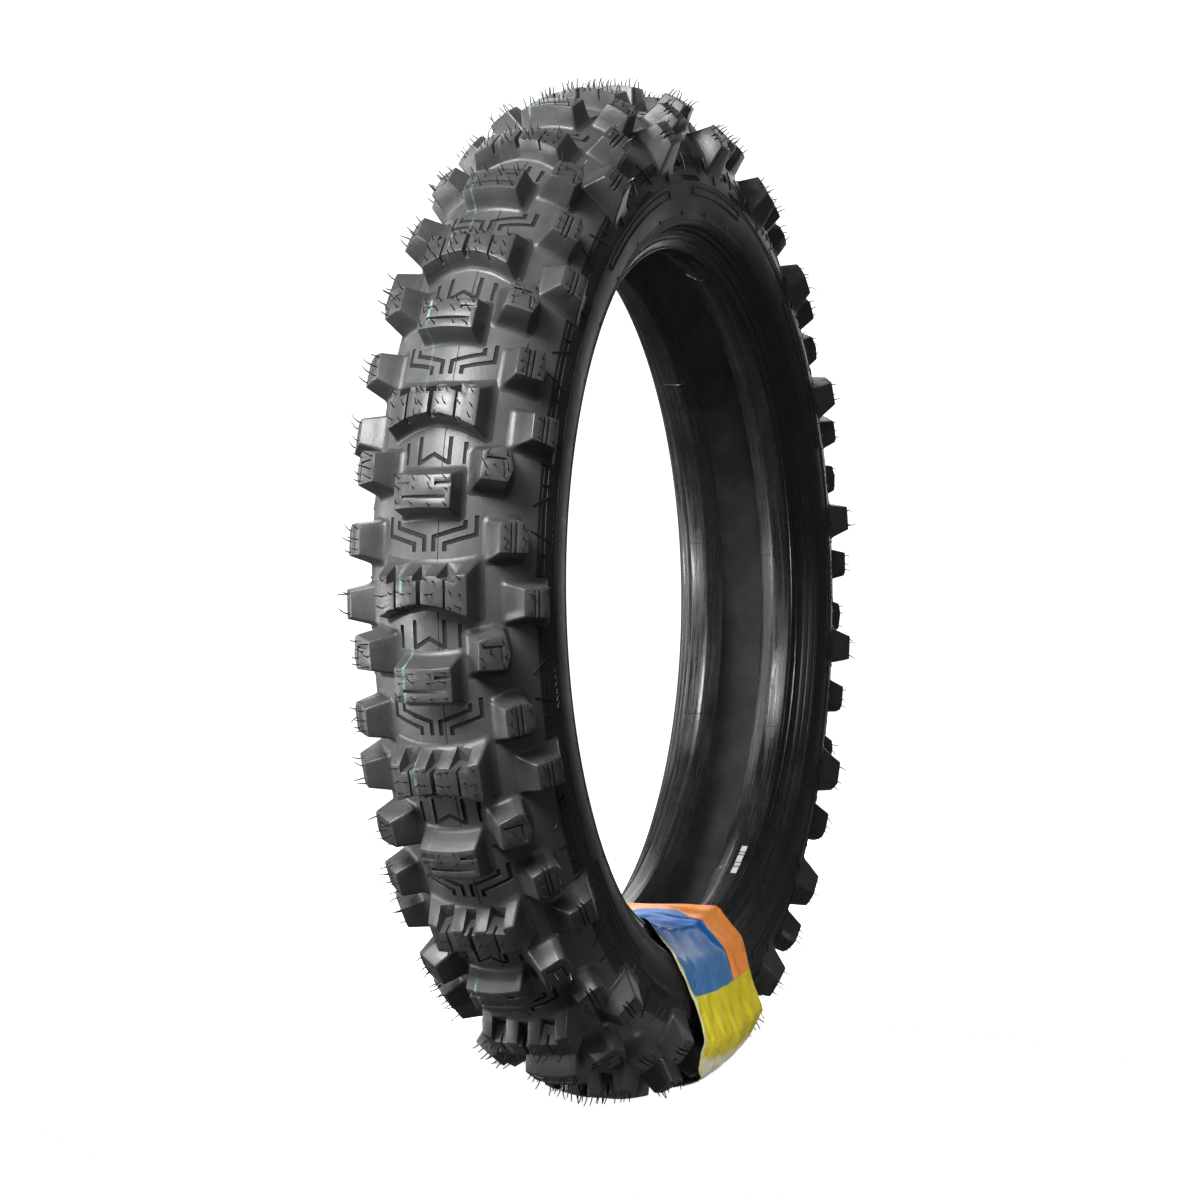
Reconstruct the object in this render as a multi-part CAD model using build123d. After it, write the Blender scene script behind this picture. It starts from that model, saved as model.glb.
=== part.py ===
from build123d import *
import math
import os

# An 18 inch off-road rear motorcycle tyre, new and unmounted.
# Frame: origin at the wheel centre, +Y along the wheel's axle towards the left side,
# +X forward, +Z up. Every cross-section is drawn in the YZ plane, so its first
# coordinate is the distance from the wheel's mid-plane and its second one the radius.
# Angles round the wheel start at +X and grow towards +Z. Angles round the section are
# measured at the casing's centre, from the crown down towards the bead.

# ------------------------------------------------------------ driving dimensions, mm
RIM_SEAT_R = 228.6          # bead seat of an 18 inch rim
SECTION_R = 57.5            # outside of the casing, without knobs
SECTION_CENTRE_R = 268.5    # radius at which the casing is widest
PITCH_COUNT = 19            # repeats of the knob pattern round the tyre

HEEL_Y = 38.5               # outer edge of the bead seat
TOE_EDGE_Y = 25.5           # inner edge of the bead seat
TOE_TIP = (15.5, 233.5)
FLANK = (43.2, 239.0)       # where the rim flange ends
SHOULDER_JOIN_R = 246.0     # where the flank meets the round casing

CAVITY_R = 52.2             # inside of the casing
CAVITY_CENTRE_R = 265.2
CAVITY_CORNER_R = 256.0     # where the bead's inner slope meets the casing
CAVITY_FILLET = 14.0
CAVITY_FLOOR_R = 215.0

SKIN_T = 1.2                # inner liner, and the chafer strip that takes over from it
PLY_T = 1.1
BREAKER_T = 1.2
BREAKER_HALF_ANGLE = 44.0   # how far the breaker reaches down from the crown
TREAD_HALF_ANGLE = 67.0     # where the tread rubber meets the sidewall rubber
CHAFER_TOP_R = 245.0

WIRE_R = 0.48
WIRE_PITCH = 1.3
WIRES_A_SIDE = 4            # a square bundle, four wires wide and four high
CORE_SIZE = 5.6
CORE_INNER_Y = 31.0         # the core's face towards the mid-plane
FILLER_TIP = (50.6, 254.5)

FILM_T = 0.4
FILM_ANGLES = (254.5, 281.0)     # the film sleeve's two edges, round the tyre
FILM_CROWN_R = 340.7
FILM_BASE_R = 228.45

LABEL_Y = (31.0, 36.0)
LABEL_ANGLES = (232.5, 241.5)
LABEL_T = 0.2

PITCH_ANGLE = 360.0 / PITCH_COUNT

# Knobs. Each outline is given in millimetres on the knob's own plane: the first
# number runs forward round the tyre, the second one outwards across it.
BAR_ANGLE = 0.0             # place in the pattern's repeat, degrees round the tyre
BAR_HEIGHT = 14.2
BAR_TOP = [(15.2, -27.6), (8.3, 0), (15.2, 27.6), (-8.1, 27.6), (-11.0, 0), (-8.1, -27.6)]
BAR_FOOT = [(17.6, -28.6), (17.2, 0), (17.6, 28.6), (-14.8, 28.6), (-14.8, 0), (-14.8, -28.6)]
BAR_GROOVES = ((0.0, 3.0), (15.5, 1.6), (-15.5, 1.6))    # place across the bar, width
BAR_GROOVE_DEPTH = 7.0
BAR_NOTCHES = ((0.0, 8.0), (16.0, 10.0), (-16.0, 10.0))
BAR_NOTCH_FRONT = -6.4
BAR_NOTCH_FLOOR = 1.5       # height of a notch's floor above the tread

BLOCK_ANGLE = -9.39
BLOCK_HEIGHT = 14.5
BLOCK_TOP = [(9.6, -17.8), (9.6, 17.8), (-9.6, 17.8), (-9.6, -17.8)]
BLOCK_FOOT = [(12.0, -18.4), (12.0, 18.4), (-15.0, 18.4), (-15.0, -18.4)]
BLOCK_SLOT_DEPTH = 3.0
BLOCK_SLOTS = (             # forward place, middle across, length across, width
    (-5.0, 12.9, 9.8, 1.2),
    (-5.0, -12.9, 9.8, 1.2),
    (2.7, 0.5, 23.0, 1.8),
)

INNER_ANGLE = -6.6          # inner shoulder knob, and where it stands round the section
INNER_LEAN = 34.5
INNER_HEIGHT = 17.0
INNER_TOP = [(8.4, -9.4), (8.6, 7.4), (0.7, 9.9), (-10.8, 7.4), (-12.0, 3.6), (-8.6, -8.6)]
INNER_FOOT = [(12.4, -11.5), (12.6, 9.5), (2.0, 12.0), (-13.5, 9.5), (-14.5, 4.0), (-11.5, -11.5)]
INNER_SLOTS = ((-4.6, 0.0, 2.2, 14.0), (1.2, 1.2, 10.0, 2.0))

MIDDLE_ANGLE = -13.7
MIDDLE_LEAN = 44.5
MIDDLE_HEIGHT = 15.3
MIDDLE_TOP = [(-7.9, -8.7), (-10.0, 0), (-9.5, 6.4), (-5.9, 9.4), (8.2, 9.7), (9.2, -8.4)]
MIDDLE_FOOT = [(-10.8, -10.5), (-13.0, 0), (-12.5, 7.5), (-8.0, 11.5), (12.0, 11.8), (13.0, -10.5)]
MIDDLE_SLOTS = ((0.0, -1.0, 24.0, 1.0), (0.0, 1.4, 24.0, 1.0))

OUTER_ANGLE = -1.5
OUTER_LEAN = 57.0
OUTER_HEIGHT = 14.8
OUTER_TOP = [(7.9, -8.5), (8.9, 8.4), (-8.6, 8.4), (-8.1, -8.5)]
OUTER_FOOT = [(11.5, -12.5), (12.5, 17.0), (-12.0, 17.0), (-11.5, -12.5)]
OUTER_SLOTS = ((0.0, 0.6, 24.0, 2.4),)

KNOB_SLOT_DEPTH = 3.0

os.makedirs("parts", exist_ok=True)
nodes = {}


# ------------------------------------------------------------ helpers
def circle_y(r, radius=SECTION_R, centre_r=SECTION_CENTRE_R):
    """Half-width of a casing circle at radius r from the axle."""
    return math.sqrt(radius ** 2 - (r - centre_r) ** 2)


def polygon(points):
    """Flat face from its corners."""
    return make_face(Polyline(*points, close=True))


def sector(half_angle, reach=200.0):
    """Fan about the casing's centre, reaching half_angle down from the crown each side."""
    steps = 8
    fan = [(0, SECTION_CENTRE_R)]
    for i in range(2 * steps + 1):
        angle = math.radians(half_angle * (i / steps - 1))
        fan.append((reach * math.sin(angle), SECTION_CENTRE_R + reach * math.cos(angle)))
    return polygon(fan)


def spin(face, angle=360.0):
    """Sweep a section face round the axle, forward from the top of the wheel."""
    return revolve(Plane.YZ * face, axis=Axis.Y, revolution_arc=angle)


def at_angle(shape, angle):
    """Carry a shape built on top of the wheel round to an angle from +X."""
    return Rot(0, 90.0 - angle, 0) * shape


def side_of(face, sign):
    """Keep the pieces of a section face on one side of the mid-plane."""
    half = Rectangle(200, 400, align=(Align.MIN if sign > 0 else Align.MAX, Align.MIN))
    return face & half


def above(r):
    """Half-plane of everything further from the axle than r."""
    return Pos(0, r) * Rectangle(200, 200, align=(Align.CENTER, Align.MIN))


def corners_near(face, points, reach=0.6):
    """The face's corners that lie at the given (y, radius) places."""
    found = []
    for vertex in face.vertices():
        for point in points:
            if math.dist((vertex.X, vertex.Y), point) < reach:
                found.append(vertex)
    return found


def mirrored(points):
    """The points and their mirror images across the mid-plane."""
    return list(points) + [(-y, r) for y, r in points]


# ------------------------------------------------------------ casing section
CAVITY_CORNER = (circle_y(CAVITY_CORNER_R, CAVITY_R, CAVITY_CENTRE_R), CAVITY_CORNER_R)
SLOPE = math.atan2(CAVITY_CORNER[1] - TOE_TIP[1], CAVITY_CORNER[0] - TOE_TIP[0])
PLY_DEPTH = SKIN_T + 2 * PLY_T      # from the bead's inner slope to the core's corner


def slope_r(y, depth=0.0):
    """Radius of the bead's inner slope at y, or of a line that deep in the rubber."""
    return TOE_TIP[1] + (y - TOE_TIP[0]) * math.tan(SLOPE) - depth / math.cos(SLOPE)


CORE_TOP_R = slope_r(CORE_INNER_Y, PLY_DEPTH)
CORE_CENTRE = (CORE_INNER_Y + CORE_SIZE / 2, CORE_TOP_R - CORE_SIZE / 2)


def cavity_face():
    """The air space inside the tyre, with the gap between the two bead toes."""
    y, r = CAVITY_CORNER
    toe_y, toe_r = TOE_TIP
    crown = (0, CAVITY_CENTRE_R + CAVITY_R)
    outline = [
        Line((toe_y, toe_r), (y, r)),
        ThreePointArc((y, r), crown, (-y, r)),
        Line((-y, r), (-toe_y, toe_r)),
        Line((-toe_y, toe_r), (-toe_y, CAVITY_FLOOR_R)),
        Line((-toe_y, CAVITY_FLOOR_R), (toe_y, CAVITY_FLOOR_R)),
        Line((toe_y, CAVITY_FLOOR_R), (toe_y, toe_r)),
    ]
    face = make_face(outline)
    return fillet(corners_near(face, mirrored([CAVITY_CORNER])), CAVITY_FILLET)


def outside_face():
    """Everything inside the tyre's outer surface, the cavity filled in."""
    join = (circle_y(SHOULDER_JOIN_R), SHOULDER_JOIN_R)
    crown = (0, SECTION_CENTRE_R + SECTION_R)
    right = [TOE_TIP, (TOE_EDGE_Y, RIM_SEAT_R), (HEEL_Y, RIM_SEAT_R), FLANK, join]
    left = [(-y, r) for y, r in reversed(right)]
    outline = [
        Polyline(*right),
        ThreePointArc(right[-1], crown, left[0]),
        Polyline(*left),
        Line(left[-1], right[0]),
    ]
    face = make_face(outline)
    face = fillet(corners_near(face, mirrored([FLANK])), 7.0)
    seat_edges = mirrored([(HEEL_Y, RIM_SEAT_R), (TOE_EDGE_Y, RIM_SEAT_R)])
    return fillet(corners_near(face, seat_edges), 1.4)


cavity = cavity_face()
section = outside_face() - cavity


def grown_cavity(distance):
    """The cavity swollen evenly into the rubber round it."""
    return offset(cavity, amount=distance, kind=Kind.ARC)


liner_edge = grown_cavity(SKIN_T)
inner_ply_edge = grown_cavity(SKIN_T + PLY_T)
outer_ply_edge = grown_cavity(PLY_DEPTH)
breaker_edge = grown_cavity(PLY_DEPTH + BREAKER_T)

# The plies run square off the core's upper corner, above this roof-shaped line.
ROOF_PEAK_R = CORE_TOP_R + CORE_INNER_Y / math.tan(SLOPE)
ROOF_EAVES = (100.0, ROOF_PEAK_R - 100.0 / math.tan(SLOPE))
ply_zone = polygon([
    (0, ROOF_PEAK_R), ROOF_EAVES, (100.0, 400.0), (-100.0, 400.0), (-ROOF_EAVES[0], ROOF_EAVES[1]),
])


def bead_core_face(sign):
    """Square outline of the wire bundle."""
    y, r = CORE_CENTRE
    return Pos(sign * y, r) * Rectangle(CORE_SIZE, CORE_SIZE)


def bead_filler_face(sign):
    """Wedge of hard rubber standing on the core, between a ply and its turn-up."""
    tip_y, tip_r = FILLER_TIP
    wedge = polygon([
        (sign * CORE_INNER_Y, CORE_TOP_R),
        (sign * (CORE_INNER_Y + CORE_SIZE), CORE_TOP_R),
        (sign * tip_y, tip_r),
        (sign * (tip_y - 4.0), tip_r + 4.0),
    ])
    return wedge - outer_ply_edge


# Core and filler of each bead, which the plies are wrapped round.
bead_hearts = [bead_core_face(sign) + bead_filler_face(sign) for sign in (1, -1)]


def wraps(inside, outside):
    """The layer between two distances from both bead hearts, clear of the plies' own run."""
    layers = None
    for heart in bead_hearts:
        ring = offset(heart, amount=outside, kind=Kind.ARC)
        if inside:
            ring = ring - offset(heart, amount=inside, kind=Kind.ARC)
        ring = ring - heart - (outer_ply_edge & ply_zone)
        layers = ring if layers is None else layers + ring
    return layers


hearts = bead_hearts[0] + bead_hearts[1]
liner = (liner_edge & section) & above(CHAFER_TOP_R)
chafer = (section - above(CHAFER_TOP_R)) - offset(section, amount=-SKIN_T, kind=Kind.ARC)
outer_ply = ((outer_ply_edge - inner_ply_edge) & section & ply_zone) + wraps(0, PLY_T)
inner_ply = ((inner_ply_edge - liner_edge) & section & ply_zone) + wraps(PLY_T, 2 * PLY_T)
inner_ply = inner_ply - chafer
breaker = ((breaker_edge - outer_ply_edge) & section) & sector(BREAKER_HALF_ANGLE)

tread_fan = sector(TREAD_HALF_ANGLE)
taken = liner + chafer + inner_ply + outer_ply + hearts + breaker
tread_base = (section & tread_fan) - taken
side_rubber = section - tread_fan - taken
rim_strip = side_rubber - above(CHAFER_TOP_R)
sidewall = side_rubber & above(CHAFER_TOP_R)


def wire_places(sign):
    """Centres of the bundle's wires."""
    y, r = CORE_CENTRE
    middle = (WIRES_A_SIDE - 1) / 2
    places = []
    for i in range(WIRES_A_SIDE):
        for j in range(WIRES_A_SIDE):
            places.append((sign * y + (i - middle) * WIRE_PITCH, r + (j - middle) * WIRE_PITCH))
    return places


def bead_wires(sign):
    """The steel wires of one bead, each a closed hoop."""
    return [spin(Pos(y, r) * Circle(WIRE_R)) for y, r in wire_places(sign)]


def core_rubber_face(sign):
    """The bundle's rubber, with a hole for each wire."""
    face = bead_core_face(sign)
    for y, r in wire_places(sign):
        face = face - Pos(y, r) * Circle(WIRE_R)
    return face


# ------------------------------------------------------------ knobs
def casing_plane(lean):
    """Plane that touches the casing on top of the wheel, lean degrees down from the crown."""
    angle = math.radians(lean)
    normal = (0, math.sin(angle), math.cos(angle))
    origin = (0, SECTION_R * normal[1], SECTION_CENTRE_R + SECTION_R * normal[2])
    return Plane(origin=origin, x_dir=(1, 0, 0), z_dir=normal)


def tapered_block(foot, top, height):
    """Straight-sided block through a foot outline at 0 and a top outline at height."""
    low, high = -14.0, height + 6.0
    outlines = []
    for level in (low, high):
        share = level / height
        corners = []
        for (x0, y0), (x1, y1) in zip(foot, top):
            corners.append((x0 + (x1 - x0) * share, y0 + (y1 - y0) * share))
        outlines.append(Plane.XY.offset(level) * polygon(corners))
    return loft(outlines, ruled=True)


def knob_shell(height):
    """Short stretch of the space between the casing and the knob tops."""
    ring = Pos(0, SECTION_CENTRE_R) * (Circle(SECTION_R + height) - Circle(SECTION_R))
    return Rot(0, -12.0, 0) * spin(ring & above(SHOULDER_JOIN_R), 24.0)


def slot(x, y, length_x, length_y, height, depth):
    """Box cutter in the top of a knob, reaching depth below it."""
    cutter = Box(length_x, length_y, 20.0, align=(Align.CENTER, Align.CENTER, Align.MIN))
    return Pos(x, y, height - depth) * cutter


def knob(foot, top, height, lean, cutters):
    """One knob on top of the wheel, its foot matched to the casing."""
    place = casing_plane(lean)
    block = place * tapered_block(foot, top, height)
    block = block & knob_shell(height)
    for cutter in cutters:
        block = block - place * cutter
    return block


def bar():
    """Chevron bar: three grooves along its top and three notches in its rear wall."""
    cutters = []
    for y, width in BAR_GROOVES:
        cutters.append(slot(0, y, 60.0, width, BAR_HEIGHT, BAR_GROOVE_DEPTH))
    for y, width in BAR_NOTCHES:
        notch = Box(30.0, width, 30.0, align=(Align.MAX, Align.CENTER, Align.MIN))
        side_drop = SECTION_R - math.sqrt(SECTION_R ** 2 - y ** 2)
        cutters.append(Pos(BAR_NOTCH_FRONT, y, BAR_NOTCH_FLOOR - side_drop) * notch)
    return knob(BAR_FOOT, BAR_TOP, BAR_HEIGHT, 0.0, cutters)


def centre_block():
    """Low rectangular knob with cross slots."""
    cutters = []
    for x, y, length, width in BLOCK_SLOTS:
        cutters.append(slot(x, y, width, length, BLOCK_HEIGHT, BLOCK_SLOT_DEPTH))
    return knob(BLOCK_FOOT, BLOCK_TOP, BLOCK_HEIGHT, 0.0, cutters)


def shoulder_knob(foot, top, height, lean, slots):
    """Left shoulder knob with straight slots, each given as x, y and its two lengths."""
    cutters = [slot(x, y, along, across, height, KNOB_SLOT_DEPTH) for x, y, along, across in slots]
    return knob(foot, top, height, lean, cutters)


def round_the_tyre(shape, angle):
    """One copy of a knob in each repeat of the pattern."""
    copies = [at_angle(shape, angle + i * PITCH_ANGLE) for i in range(PITCH_COUNT)]
    return Compound(children=copies)


# ------------------------------------------------------------ wrapping film and label
def film_face():
    """Film drawn tight round the knobs, the sidewalls and across the bead opening."""
    shoulder = [(34.0, 335.3), (49.4, 326.5), (58.6, 313.8), (65.9, 299.8)]
    side = [(58.2, 264.0), (54.2, 247.0), (HEEL_Y + 0.2, FILM_BASE_R)]
    right = shoulder + side
    left = [(-y, r) for y, r in reversed(right)]
    outline = [
        ThreePointArc(left[-1], (0, FILM_CROWN_R), right[0]),
        Polyline(*right),
        Line(right[-1], left[0]),
        Polyline(*left),
    ]
    inside = make_face(outline)
    return offset(inside, amount=FILM_T, kind=Kind.ARC) - inside


def stretch(face, angles):
    """Sweep a section face between two angles round the wheel."""
    start, end = angles
    return at_angle(spin(face, end - start), end)


def label_face():
    """Strip pressed flush into the left bead seat."""
    low, high = LABEL_Y
    middle = ((low + high) / 2, RIM_SEAT_R + LABEL_T / 2)
    return Pos(*middle) * Rectangle(high - low, LABEL_T)


# ------------------------------------------------------------ nodes
nodes["inner_liner"] = spin(liner)
nodes["carcass_ply_inner"] = spin(inner_ply)
nodes["carcass_ply_outer"] = spin(outer_ply)
nodes["crown_breaker"] = spin(breaker)
nodes["tread_base"] = spin(tread_base)
nodes["centre_bars"] = round_the_tyre(bar(), BAR_ANGLE)
nodes["centre_blocks"] = round_the_tyre(centre_block(), BLOCK_ANGLE)

shoulder_knobs = {
    "inner_shoulder_knobs": (
        INNER_ANGLE,
        shoulder_knob(INNER_FOOT, INNER_TOP, INNER_HEIGHT, INNER_LEAN, INNER_SLOTS),
    ),
    "middle_shoulder_knobs": (
        MIDDLE_ANGLE,
        shoulder_knob(MIDDLE_FOOT, MIDDLE_TOP, MIDDLE_HEIGHT, MIDDLE_LEAN, MIDDLE_SLOTS),
    ),
    "outer_shoulder_knobs": (
        OUTER_ANGLE,
        shoulder_knob(OUTER_FOOT, OUTER_TOP, OUTER_HEIGHT, OUTER_LEAN, OUTER_SLOTS),
    ),
}
for name, (angle, left_knob) in shoulder_knobs.items():
    nodes[f"{name}_left"] = round_the_tyre(left_knob, angle)
    nodes[f"{name}_right"] = round_the_tyre(mirror(left_knob, about=Plane.XZ), angle)

for side, sign in (("left", 1), ("right", -1)):
    nodes[f"sidewall_{side}"] = spin(side_of(sidewall, sign))
    nodes[f"chafer_{side}"] = spin(side_of(chafer, sign))
    nodes[f"rim_strip_{side}"] = spin(side_of(rim_strip, sign))
    nodes[f"bead_filler_{side}"] = spin(bead_filler_face(sign))
    nodes[f"bead_core_rubber_{side}"] = spin(core_rubber_face(sign))
    nodes[f"bead_wires_{side}"] = Compound(children=bead_wires(sign))

nodes["film_sleeve"] = stretch(film_face(), FILM_ANGLES)
nodes["bead_label"] = stretch(label_face(), LABEL_ANGLES)
nodes["chafer_left"] = nodes["chafer_left"] - nodes["bead_label"]

for name, shape in nodes.items():
    export_step(shape, f"parts/{name}.step")
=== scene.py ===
import math
import random

import bmesh
import bpy
from mathutils import Matrix, Vector
from mathutils.geometry import delaunay_2d_cdt


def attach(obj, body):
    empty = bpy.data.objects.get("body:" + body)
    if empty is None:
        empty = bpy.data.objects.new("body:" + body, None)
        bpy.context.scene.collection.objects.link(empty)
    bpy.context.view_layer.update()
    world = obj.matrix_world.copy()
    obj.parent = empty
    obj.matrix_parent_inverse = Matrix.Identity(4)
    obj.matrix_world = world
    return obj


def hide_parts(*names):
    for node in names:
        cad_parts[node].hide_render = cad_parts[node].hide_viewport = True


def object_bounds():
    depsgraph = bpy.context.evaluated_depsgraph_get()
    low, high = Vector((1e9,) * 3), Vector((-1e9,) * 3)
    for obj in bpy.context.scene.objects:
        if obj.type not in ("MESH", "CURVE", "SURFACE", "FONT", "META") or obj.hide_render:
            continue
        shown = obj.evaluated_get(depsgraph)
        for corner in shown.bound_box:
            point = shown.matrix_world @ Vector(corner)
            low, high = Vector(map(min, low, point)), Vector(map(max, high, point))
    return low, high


# An off-road rear motorcycle tyre. Lengths in the tables below are millimetres, as in
# the CAD; meshes are made in metres. Frame: wheel centre, +Y along the axle to the left,
# +X forward, +Z up. An angle round the tyre starts at +X and grows towards +Z.

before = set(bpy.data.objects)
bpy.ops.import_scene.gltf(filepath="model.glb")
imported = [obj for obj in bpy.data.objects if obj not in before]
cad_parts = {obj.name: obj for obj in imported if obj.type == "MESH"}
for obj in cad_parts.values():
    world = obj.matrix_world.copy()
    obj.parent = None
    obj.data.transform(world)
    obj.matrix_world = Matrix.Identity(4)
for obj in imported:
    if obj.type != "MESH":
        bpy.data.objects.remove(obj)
cad_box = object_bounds()
rng = random.Random(19)

MM = 0.001
SECTION_R = 57.5
CENTRE_R = 268.5
PITCH_COUNT = 19
PITCH_ANGLE = 360.0 / PITCH_COUNT
TREAD_HALF_ANGLE = 67.0
FLOOR_Z = cad_box[0][2]

# place along the wrap from the crown, then how far forward each edge of the band lies there
FILM_FAR = [(0, -96), (45, -90), (60, -85), (77, -80), (95, -75), (111, -71),
            (125, -66), (150, -63), (220, -60)]
FILM_NEAR = [(0, -28), (42, -14), (52, 2), (62, 24), (78, 41), (98, 43),
             (111, 46), (124, 57), (137, 70), (150, 78),
             (220, 80)]


# ------------------------------------------------------------ geometry helpers
def along(table, place):
    """Straight-line reading of a table of (place, value)."""
    for (a, low), (b, high) in zip(table, table[1:]):
        if place <= b:
            return low + (high - low) * (place - a) / (b - a)
    return table[-1][1]


def casing_height(p):
    """Distance of a point, in mm, outside the casing's round section."""
    return math.hypot(p[1], math.hypot(p[0], p[2]) - CENTRE_R) - SECTION_R


def on_casing(angle, phi, height):
    """Point in mm from its angle round the tyre, its angle down the section and its height."""
    reach = SECTION_R + height
    r = CENTRE_R + reach * math.cos(math.radians(phi))
    a = math.radians(angle)
    return (r * math.cos(a), reach * math.sin(math.radians(phi)), r * math.sin(a))


class Seat:
    """A knob's plane: it touches the casing on top of the wheel, lean degrees off the crown."""

    def __init__(self, lean):
        self.s = math.sin(math.radians(lean))
        self.c = math.cos(math.radians(lean))

    def point(self, x, t, z):
        y = SECTION_R * self.s + t * self.c + z * self.s
        r = CENTRE_R + SECTION_R * self.c - t * self.s + z * self.c
        return (x, y, r)

    def lift(self, x, t, height):
        """The z at which a point of the plane stands that far off the casing."""
        z = height
        for _ in range(8):
            z += height - casing_height(self.point(x, t, z))
        return z


def turn(points, angle):
    """Carry points from the top of the wheel round to an angle from +X."""
    a = math.radians(90.0 - angle)
    c, s = math.cos(a), math.sin(a)
    return [(x * c + z * s, y, -x * s + z * c) for x, y, z in points]


def area(outline):
    total = 0.0
    for (x0, y0), (x1, y1) in zip(outline, outline[1:] + outline[:1]):
        total += x0 * y1 - x1 * y0
    return total / 2


def spread(outline, distance):
    """Outline moved outwards, its corners mitred. It runs anticlockwise."""
    moved = []
    count = len(outline)
    for i, (x, y) in enumerate(outline):
        ax, ay = outline[i - 1]
        bx, by = outline[(i + 1) % count]
        n1 = Vector((y - ay, ax - x)).normalized()
        n2 = Vector((by - y, x - bx)).normalized()
        n = n1 + n2
        scale = distance / max(0.3, n.dot(n1))
        moved.append((x + n.x * scale, y + n.y * scale))
    return moved


def soften(outline, radius, grain, pattern=None):
    """Outline with rounded corners and its sides cut into short lengths.

    Returns the points and how many go to each side, so that a second outline with
    as many corners can be divided alike.
    """
    count = len(outline)
    points = []
    steps = []
    for i in range(count):
        p = Vector(outline[i])
        to_last = Vector(outline[i - 1]) - p
        to_next = Vector(outline[(i + 1) % count]) - p
        cut = min(radius, 0.4 * to_last.length, 0.4 * to_next.length)
        start = p + to_last.normalized() * cut
        end = p + to_next.normalized() * cut
        for k in range(4):
            u = k / 3
            points.append(tuple(start * (1 - u) ** 2 + p * 2 * u * (1 - u) + end * u ** 2))
        q = Vector(outline[(i + 1) % count])
        far = q - to_next.normalized() * min(radius, 0.4 * to_next.length)
        number = pattern[i] if pattern else max(1, round((far - end).length / grain))
        steps.append(number)
        for k in range(1, number):
            points.append(tuple(end.lerp(far, k / number)))
    return points, steps


def fill(ring, grain):
    """Triangles over a flat outline, with inner points so that it can follow a curve."""
    xs = [p[0] for p in ring]
    ys = [p[1] for p in ring]
    inner = []
    inset = spread(ring, -0.45 * grain)
    x = min(xs) + grain / 2
    while x < max(xs):
        y = min(ys) + grain / 2
        while y < max(ys):
            if inside((x, y), inset):
                inner.append((x, y))
            y += grain
        x += grain
    count = len(ring)
    edges = [(i, (i + 1) % count) for i in range(count)]
    points = [Vector(p) for p in ring + inner]
    result = delaunay_2d_cdt(points, edges, [], 1, 1e-5)
    return [tuple(p) for p in result[0]], [list(f) for f in result[2]], result[3]


def inside(p, outline):
    x, y = p
    odd = False
    for (x0, y0), (x1, y1) in zip(outline, outline[1:] + outline[:1]):
        if (y0 > y) != (y1 > y) and x < x0 + (y - y0) * (x1 - x0) / (y1 - y0):
            odd = not odd
    return odd


def new_object(name, verts, faces, smooth_angle=35.0, weld=0.0):
    """Mesh object from mm points, smooth apart from edges sharper than an angle."""
    mesh = bpy.data.meshes.new(name)
    mesh.from_pydata([(x * MM, y * MM, z * MM) for x, y, z in verts], [], faces)
    mesh.validate()
    obj = bpy.data.objects.new(name, mesh)
    bpy.context.collection.objects.link(obj)
    crisp(mesh, smooth_angle, weld * MM)
    return obj


def crisp(mesh, angle, weld):
    bm = bmesh.new()
    bm.from_mesh(mesh)
    if weld:
        bmesh.ops.remove_doubles(bm, verts=bm.verts, dist=weld)
    bmesh.ops.recalc_face_normals(bm, faces=bm.faces)
    limit = math.radians(angle)
    for face in bm.faces:
        face.smooth = True
    for edge in bm.edges:
        edge.smooth = len(edge.link_faces) == 2 and edge.calc_face_angle(0.0) < limit
    bm.to_mesh(mesh)
    bm.free()


def lathe(name, profile, steps=456, smooth_angle=35.0):
    """Closed ring from (y, radius) points of its section."""
    verts = []
    for i in range(steps):
        a = 2 * math.pi * i / steps
        verts += [(r * math.cos(a), y, r * math.sin(a)) for y, r in profile]
    n = len(profile)
    faces = []
    for i in range(steps):
        for j in range(n):
            k = (j + 1) % n
            m = (i + 1) % steps
            faces.append((i * n + j, i * n + k, m * n + k, m * n + j))
    return new_object(name, verts, faces, smooth_angle)


def round_the_tyre(parts, angle):
    """Vertices and faces of one copy of a part in each repeat of the tread."""
    verts, faces = parts
    all_verts, all_faces = [], []
    for i in range(PITCH_COUNT):
        start = len(all_verts)
        all_verts += turn(verts, angle + i * PITCH_ANGLE)
        all_faces += [[start + v for v in f] for f in faces]
    return all_verts, all_faces


# ------------------------------------------------------------ knobs
FOOT_FILLET = 2.9
EDGE_ROUND = 0.5


def wall_ring(seat, foot, top, height, level):
    """Where a knob's straight walls stand that far off the casing, on its own plane."""
    ring = []
    for (x0, t0), (x1, t1) in zip(foot, top):
        share = level / height
        for _ in range(8):
            x = x0 + (x1 - x0) * share
            t = t0 + (t1 - t0) * share
            share += (level - casing_height(seat.point(x, t, share * height))) / height
        ring.append((x0 + (x1 - x0) * share, t0 + (t1 - t0) * share))
    return ring


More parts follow.
